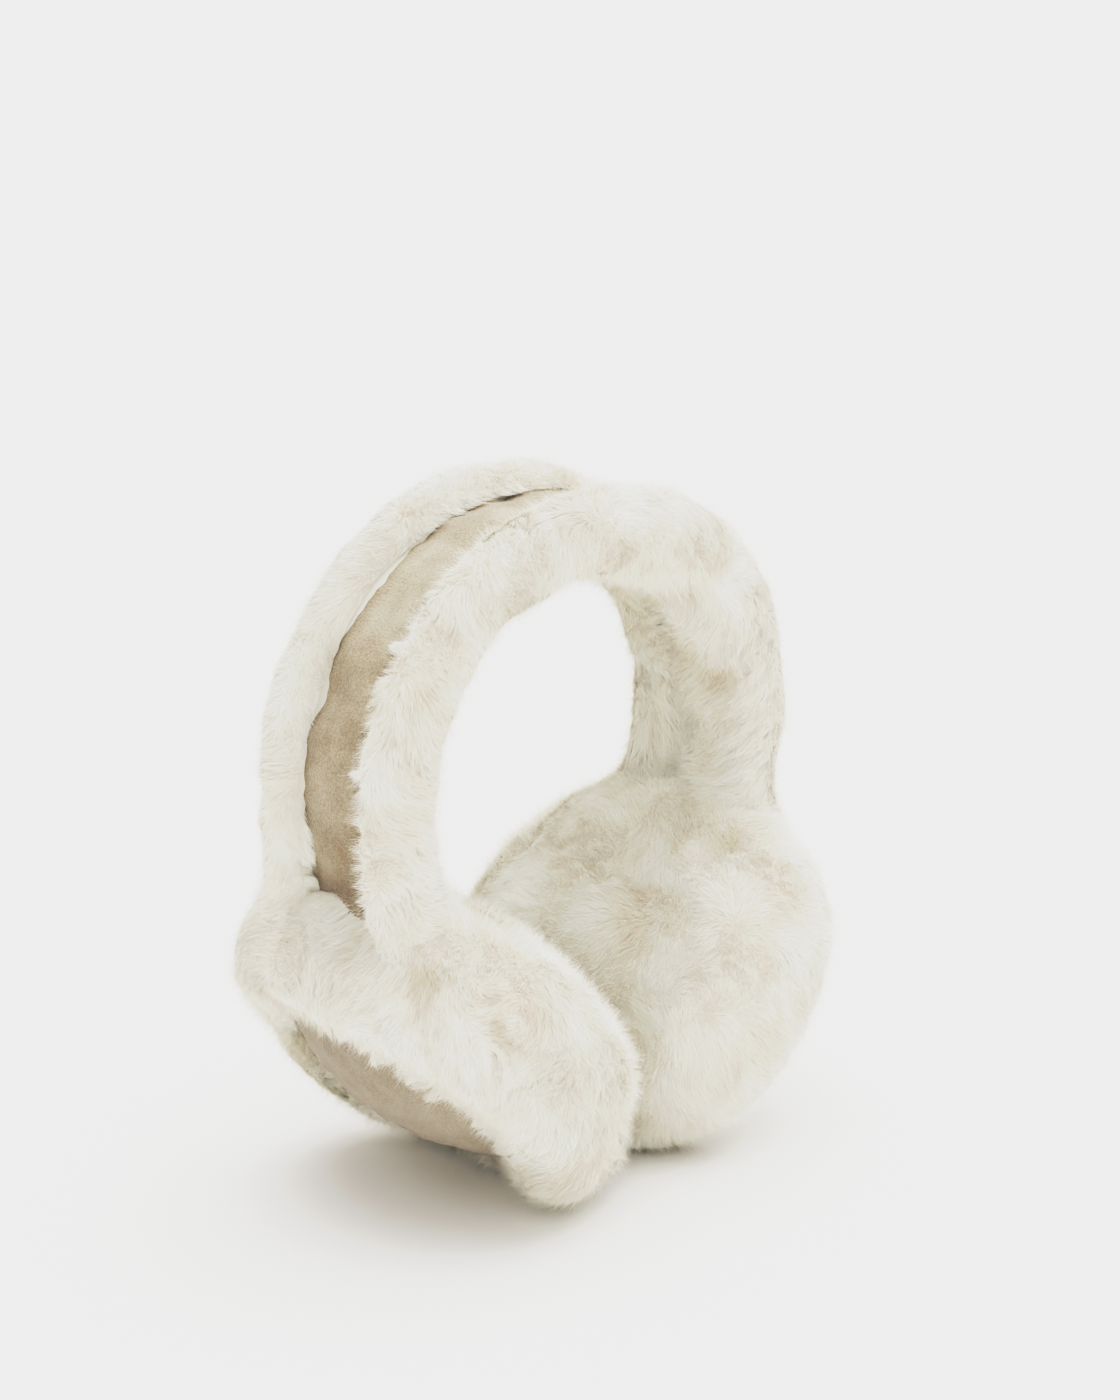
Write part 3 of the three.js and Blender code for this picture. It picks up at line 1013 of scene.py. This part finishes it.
class BandPelt(Pelt):
    """The sleeve's fur."""

    def __init__(self):
        super().__init__(band_chart, (-6, 0), (arch.length + 6, band_chart.length),
                         BAND_TUFT, BAND_SEED)

    def from_edge(self, x, y):
        return np.minimum(y - band_chart.low, band_chart.high - y)

    def behind(self, y):
        return y > band_chart.length / 2

    def buried(self, base):
        return to_cups(base)

    def relief(self, x, y, base):
        free = np.clip(self.from_edge(x, y) / 8, 0, 1)
        return free * (0.3 * swell(base) + 0.2 * ruffle(base) + puffs(base)
                       + fillet(to_cups(base)) - BAND_VALLEY * self.valleys(base))

    def tufted(self, x, y, base):
        """The front roll is smoother, most of all at its edge."""
        smooth = fade(np.maximum(y - band_chart.low, 0), 14.0)
        return super().tufted(x, y, base) * (1 - 0.75 * smooth)

    def comb(self, x, y, base):
        """Away from the strip towards the head side and down the legs, except at the very
        edge, where the fur falls over the strip, more so on the back roll."""
        from_middle = y - band_chart.length / 2
        from_crown = x - arch.length / 2
        lean_x = BAND_LEAN_DOWN * np.tanh(from_crown / 30)
        lean_y = -BAND_LEAN * np.tanh(from_middle / 6)
        behind = self.behind(y)
        lap = self.near_edge(x, y, np.where(behind, BACK_LAP, LAP))
        over = np.where(behind, BACK_OVER + 2.0 * ruffle(base), FRONT_OVER)
        lean_y = lean_y * (1 - lap) + lap * over
        return lean_x * (1 - 0.4 * lap), lean_y

    def gather(self, x, y, base):
        return 0.2 + self.near_edge(x, y, LAP) * np.where(self.behind(y), 0.55, -0.1)

    def lift(self, x, y, base):
        return self.near_edge(x, y, LAP) * np.where(self.behind(y), 0.9, 0.3)


def grow_band():
    """The sleeve in three lengths, each within a piece's limit of triangles."""
    pelt = BandPelt()

    def share(x, y):
        middle, outwards = arch(x)
        point, _ = band_chart(x, y)
        height = ((point - middle) * outwards).sum(1)
        buried = pelt(x, y)[:, BURIED] < COVERED
        crowd = 1 + pelt.near_edge(x, y, 4.0)
        return np.where(buried, 0, 1 + height / 68) * crowd

    cuts = np.linspace(0, arch.length, 4)
    low_y, high_y = band_chart.low, band_chart.high
    for number, name in enumerate(("left", "crown", "right")):
        low, high = cuts[number], cuts[number + 1]
        x, y = scatter(BAND_ROOT_SEED + number, (low, low_y), (high, high_y), share, 2.4)
        steps = int((high - low) / UNDERCOAT_MESH)
        around = int((high_y - low_y) / UNDERCOAT_MESH)
        grid_x, grid_y = np.meshgrid(np.linspace(low, high, steps),
                                     np.linspace(low_y - 2, high_y + 2, around), indexing="ij")
        from_edge = pelt.from_edge(grid_x, grid_y)
        in_front = UNDERCOAT_DEPTH - 0.45 * pelt.near_edge(grid_x, grid_y, 4.0)
        in_front += 1.6 * np.clip(-from_edge / 2, 0, 1)
        depth = np.where(pelt.behind(grid_y), dipping(from_edge), in_front)
        coat = undercoat(pelt, grid_x, grid_y, depth)
        fur_piece(f"band_fur_{name}", "band_fur", pelt, x, y, coat,
                  grid_faces(steps, around))


class CupPelt(Pelt):
    """The fur of a cup's ring, or of its pad: its inner half."""

    def __init__(self, side, inner_half):
        self.side = side
        chart = CupChart(side, inner_half)
        ring_span = chart.rim - chart.inner
        self.far = chart.length - chart.rim if inner_half else DISC_RADIUS + ring_span
        edge = self.far + 8
        super().__init__(chart, (-edge, -edge), (edge, edge), CUP_TUFT,
                         CUP_SEED + inner_half)

    def bound(self, points):
        """The fur gives way softly to the other cup and to the ground."""
        points[..., 0] = self.side * at_least(points[..., 0] * self.side, 0.4, 4.0)
        points[..., 2] = at_least(points[..., 2], 0.4, 1.5)
        return points

    def from_edge(self, x, y):
        """How far a place is from the disc's edge."""
        if self.chart.inner_half:
            return np.full_like(x, 99.0)
        return np.hypot(x, y) - DISC_RADIUS

    def away(self, x, y):
        """How far a place is ruled by the far side of the ring's crest, where the fur falls
        away from the disc."""
        turned = np.clip(1 - 2.2 * self.facing(x, y), 0, 1)
        return turned * fade(self.from_edge(x, y), AWAY_LAP)

    def beside(self, base):
        """0 where the ring meets the suede strip, which no fur runs up, and 1 elsewhere."""
        if self.chart.inner_half:
            return 1.0
        return 1 - np.exp(-(np.abs(base[:, 1]) / 14.0) ** 6)

    def facing(self, x, y):
        """1 at the ring's front and upper part, 0 opposite."""
        return 0.5 + 0.5 * np.cos(np.arctan2(y, x) - math.radians(60))

    def from_seam(self, x, y):
        return self.far - np.hypot(x, y)

    def buried(self, base):
        under = np.minimum(base[:, 0] * self.side - 1.0, base[:, 2])
        return np.minimum(to_band(base), under)

    def relief(self, x, y, base):
        free = np.clip(self.from_edge(x, y) / 4, 0, 1)
        rim = np.clip(self.from_edge(x, y) / LIP, 0, 1)
        roll = (0.4 + 1.2 * (1 - self.facing(x, y))) * np.sqrt(1 - (1 - rim) ** 2)
        roll *= fade(np.maximum(self.from_edge(x, y) - LIP, 0), 9.0)
        return roll + free * (0.35 * swell(base) + 0.2 * ruffle(base) + puffs(base)
                              + fillet(to_band(base)) * self.beside(base)
                              - CUP_VALLEY * self.valleys(base))

    def tufted(self, x, y, base):
        seamless = 1 - fade(self.from_seam(x, y), 4.0)
        if self.chart.inner_half:
            seamless = seamless * 0.42
        return super().tufted(x, y, base) * seamless

    def comb(self, x, y, base):
        """From the middle of the pad over the rim to the disc, and further over the disc on
        its front and upper edge."""
        distance = np.maximum(np.hypot(x, y), 1e-6)
        if self.chart.inner_half:
            by_rim = fade(self.from_seam(x, y), 28.0)
            outwards = CUP_LEAN * by_rim
            downwards = PAD_LEAN_DOWN * (1 - by_rim)
        else:
            outwards = -CUP_LEAN + self.near_edge(x, y, CUP_LAP) * (0.8 - 1.6 * ruffle(base))
            outwards += AWAY * self.away(x, y)
            downwards = 0
        return outwards * x / distance - downwards, outwards * y / distance

    def gather(self, x, y, base):
        return 0.2 + 0.5 * self.near_edge(x, y, CUP_LAP)

    def lift(self, x, y, base):
        return 1.2 * self.near_edge(x, y, CUP_LAP) + self.away(x, y)


def grow_cup_half(side, side_name, inner_half):
    pelt = CupPelt(side, inner_half)
    chart = pelt.chart
    low = 0.0 if inner_half else DISC_RADIUS
    high = pelt.far
    name = f"ear_pad_{side_name}" if inner_half else f"ear_ring_{side_name}"

    def share(x, y):
        distance = np.hypot(x, y)
        radius = chart.at(chart.place(distance))[0]
        inside = (distance >= low) & (distance <= high)
        buried = pelt(x, y)[:, BURIED] < COVERED
        crowd = 1 + 1.6 * fade(pelt.from_edge(x, y), 4.0)
        return np.where(inside & ~buried, radius / np.maximum(distance, 1.0), 0) * crowd

    x, y = scatter(CUP_ROOT_SEED + inner_half, (-high, -high), (high, high), share, 2.6)
    rings = int((high - low) / UNDERCOAT_MESH) + 2
    turns = 190
    distance = np.linspace(max(low - 2, 0.5), high, rings)
    turn = np.linspace(0, 2 * math.pi, turns, endpoint=False)
    distance, turn = np.meshgrid(distance, turn, indexing="ij")
    grid_x, grid_y = distance * np.cos(turn), distance * np.sin(turn)
    coat = undercoat(pelt, grid_x, grid_y, dipping(pelt.from_edge(grid_x, grid_y)))
    fur_piece(name + "_fur", name, pelt, x, y, coat,
              grid_faces(rings, turns, closed=True))


# --- suede

def suede_piece(node_name, points, faces, material):
    """A tube of suede with closed ends, in place of a node of the CAD model."""
    piece = add_mesh(node_name + "_suede", points.reshape(-1, 3), faces, material)
    shape = bmesh.new()
    shape.from_mesh(piece.data)
    bmesh.ops.holes_fill(shape, edges=shape.edges)
    bmesh.ops.recalc_face_normals(shape, faces=shape.faces)
    shape.to_mesh(piece.data)
    shape.free()
    shade_smooth(piece)
    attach(piece, "root")
    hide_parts(node_name)
    return piece


def make_strip():
    """The suede strip: a closed band of cloth, crowned, with broad folds across it and finer
    gathers where it is sewn in along its edges."""
    steps, across, rounding = 420, 26, 4
    s = np.linspace(4, arch.length - 4, steps)
    half = STRIP_WIDTH / 2 + STRIP_TUCK
    radius = STRIP_THICKNESS / 2
    side = np.linspace(-half + radius, half - radius, across)
    turn = np.linspace(0, math.pi, rounding + 2)[1:-1]
    side = np.concatenate([side, half - radius + radius * np.sin(turn),
                           side[::-1], radius - half - radius * np.sin(turn)])
    depth = np.concatenate([np.zeros(across), radius - radius * np.cos(turn),
                            np.full(across, 2 * radius), radius + radius * np.cos(turn)])
    s_grid, side_grid = np.meshgrid(s, side, indexing="ij")
    spots = np.stack([s_grid, side_grid * 0.3, 0 * s_grid], -1).reshape(-1, 3)
    folds = Waves(15, 15.0)(spots).reshape(s_grid.shape)
    gathers = Waves(16, 4.5)(spots * [1, 0.7, 1]).reshape(s_grid.shape)
    edge = np.abs(side_grid) / half
    top = (strip_height(side_grid) + STRIP_FOLD * folds * (1 - 0.95 * edge ** 2)
           + STRIP_GATHER * gathers * edge ** 2 * (1 - edge ** 6) - depth)
    middle, outwards = arch(s)
    place = side_grid + STRIP_SHIFT
    points = middle[:, None] + outwards[:, None] * top[..., None] + FORWARDS * place[..., None]
    columns = len(side)
    faces = grid_faces(steps, columns, closed=True)[:, ::-1]
    piece = suede_piece("band_strip", points, faces, strip_suede)


def make_disc(side, side_name):
    """A domed suede disc with a rounded edge, closed underneath."""
    chart = CupChart(side, False)
    turns = 128
    radius = np.linspace(0.4, DISC_RADIUS - DISC_EDGE, 52)
    rim = np.linspace(0, math.pi, 10)[1:]
    height = np.concatenate([disc_height(radius),
                             disc_height(radius[-1]) - DISC_EDGE * (1 - np.cos(rim))])
    radius = np.concatenate([radius, radius[-1] + DISC_EDGE * np.sin(rim)])
    turn = np.linspace(0, 2 * math.pi, turns, endpoint=False)
    points = (chart.centre + chart.axis * height[:, None, None]
              + chart.spokes(turn) * radius[:, None, None])
    dimples = Waves(18, 9.0)(points.reshape(-1, 3)).reshape(len(radius), turns)
    inner = np.clip((DISC_RADIUS - radius) / 8, 0, 1)[:, None]
    points += chart.axis * (DISC_DIMPLE * dimples * inner)[..., None]
    faces = grid_faces(len(radius), turns, closed=True)
    if side > 0:
        faces = faces[:, ::-1]
    piece = suede_piece(f"ear_disc_{side_name}", points, faces, disc_suede)


# --- make

make_camera()
make_stage()
expose()
bpy.context.scene.cycles.diffuse_bounces = BOUNCES

grow_band()
make_strip()
for side, side_name in ((LEFT, "left"), (RIGHT, "right")):
    grow_cup_half(side, side_name, True)
    grow_cup_half(side, side_name, False)
    make_disc(side, side_name)
